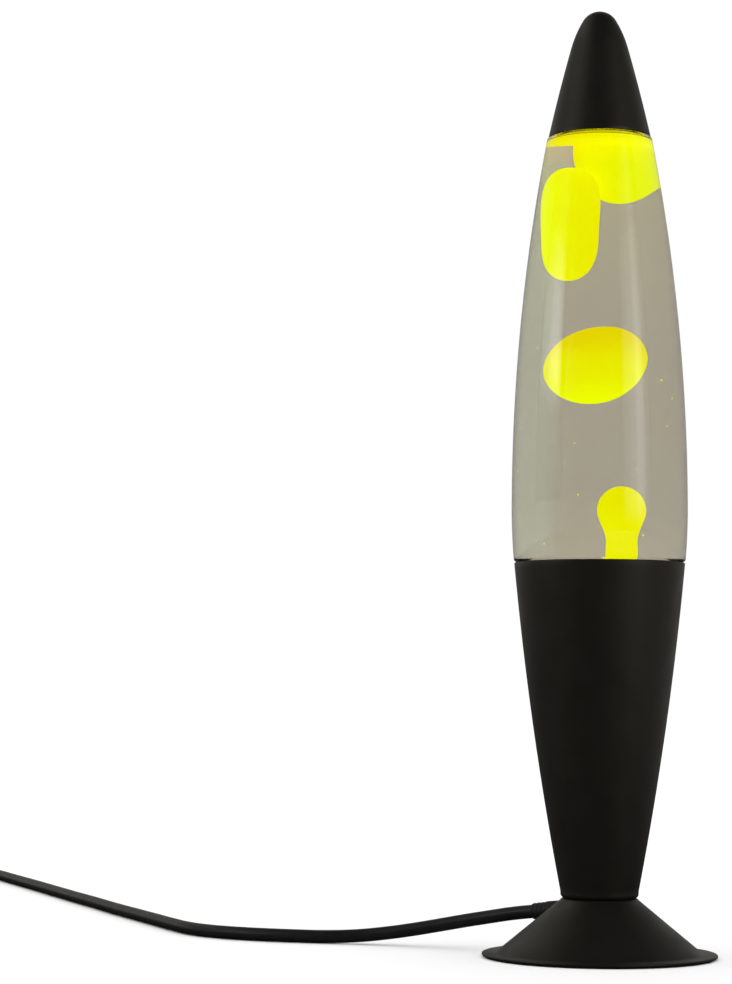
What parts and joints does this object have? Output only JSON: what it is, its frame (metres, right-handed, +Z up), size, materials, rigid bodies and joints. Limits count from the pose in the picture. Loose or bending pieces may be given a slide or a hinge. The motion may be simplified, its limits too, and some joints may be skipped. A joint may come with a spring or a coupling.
{
  "type": "lava lamp",
  "caption": "Rocket-shaped lava lamp: glass globe of clear liquid and glowing wax between a tapered black base with a flared foot and a black nose cap, with its mains lead.",
  "frame": {"origin": "on the lamp's axis, on the surface that the foot stands on", "axes": "+Z up along the lamp's axis, -Y towards the front, +X to the right; the mains lead leaves the foot at the back left"},
  "size_m": [0.5213, 0.526, 0.4204],
  "materials": {
    "black_paint": "satin powder coat",
    "black_foam": "closed-cell foam",
    "black_plastic": "fine moulded texture",
    "bakelite": "moulded phenolic",
    "flex_pvc": "satin PVC sheath",
    "zinc_steel": "zinc plated",
    "brass": "plain",
    "nickel": "nickel plated",
    "clear_glass": "clear",
    "bulb_glass": "clear front, silvered flank",
    "black_glass": "insulating glass",
    "liquid": "clear warm liquid",
    "wax": "glowing wax",
    "brown_core": "PVC",
    "blue_core": "PVC",
    "tinplate": "lacquered",
    "liner": "soft",
    "tungsten": "wire on a glass stem",
    "tie": "flat strap"
  },
  "bodies": {
    "base": {"foot": "black_paint", "foot_pad": "black_foam", "bottom_cover": "black_plastic", "cover_screws": "zinc_steel", "base_shell": "black_paint", "nipple": "brass", "nipple_nut": "brass", "nipple_washers": "zinc_steel", "lampholder_cap": "bakelite", "lampholder_body": "bakelite", "lampholder_shell": "brass", "lampholder_contact": "brass", "terminal_screws": "zinc_steel", "strain_relief": "black_plastic", "live_wire": "brown_core", "neutral_wire": "blue_core", "flex_run": "flex_pvc", "flex_lead": "flex_pvc", "flex_coil": "flex_pvc", "flex_tail": "flex_pvc", "coil_tie": "tie", "switch_lower": "black_plastic", "switch_upper": "black_plastic", "switch_screws": "zinc_steel", "plug_body": "black_plastic", "plug_pins": "nickel"},
    "globe": {"glass_vessel": "clear_glass", "crown_cap": "tinplate", "crown_liner": "liner", "liquid": "liquid", "heating_coil": "zinc_steel", "wax_pool": "wax", "wax_ceiling": "wax"},
    "cap": {"nose_cap": "black_paint", "cap_grip": "black_foam"},
    "bulb": {"bulb_envelope": "bulb_glass", "bulb_screw_cap": "nickel", "bulb_insulator": "black_glass", "bulb_contact": "nickel", "bulb_filament": "tungsten"},
    "rocker": {"switch_rocker": "bakelite"},
    "middle_wax": {"wax_middle_blob": "wax"},
    "upper_wax": {"wax_upper_blob": "wax"}
  },
  "joints": [
    {"name": "globe_lift", "type": "slide", "parent": "base", "child": "globe", "axis": [0, 0, 1], "range_m": [0, 0.06]},
    {"name": "cap_lift", "type": "slide", "parent": "globe", "child": "cap", "axis": [0, 0, 1], "range_m": [0, 0.04]},
    {"name": "bulb_unscrew", "type": "hinge", "parent": "base", "child": "bulb", "pos_m": [0, 0, 0.06], "axis": [0, 0, 1], "range_deg": [0, 1080]},
    {"name": "switch_press", "type": "hinge", "parent": "base", "child": "rocker", "pos_m": [-0.452, 0.387, 0.0124], "axis": [1, 0, 0], "range_deg": [-16, 0]},
    {"name": "middle_wax_drift", "type": "slide", "parent": "globe", "child": "middle_wax", "axis": [0, 0, 1], "range_m": [-0.03, 0.008], "deforming": ["liquid"]},
    {"name": "upper_wax_drift", "type": "slide", "parent": "globe", "child": "upper_wax", "axis": [0, 0, 1], "range_m": [-0.008, 0], "deforming": ["liquid"]}
  ]
}
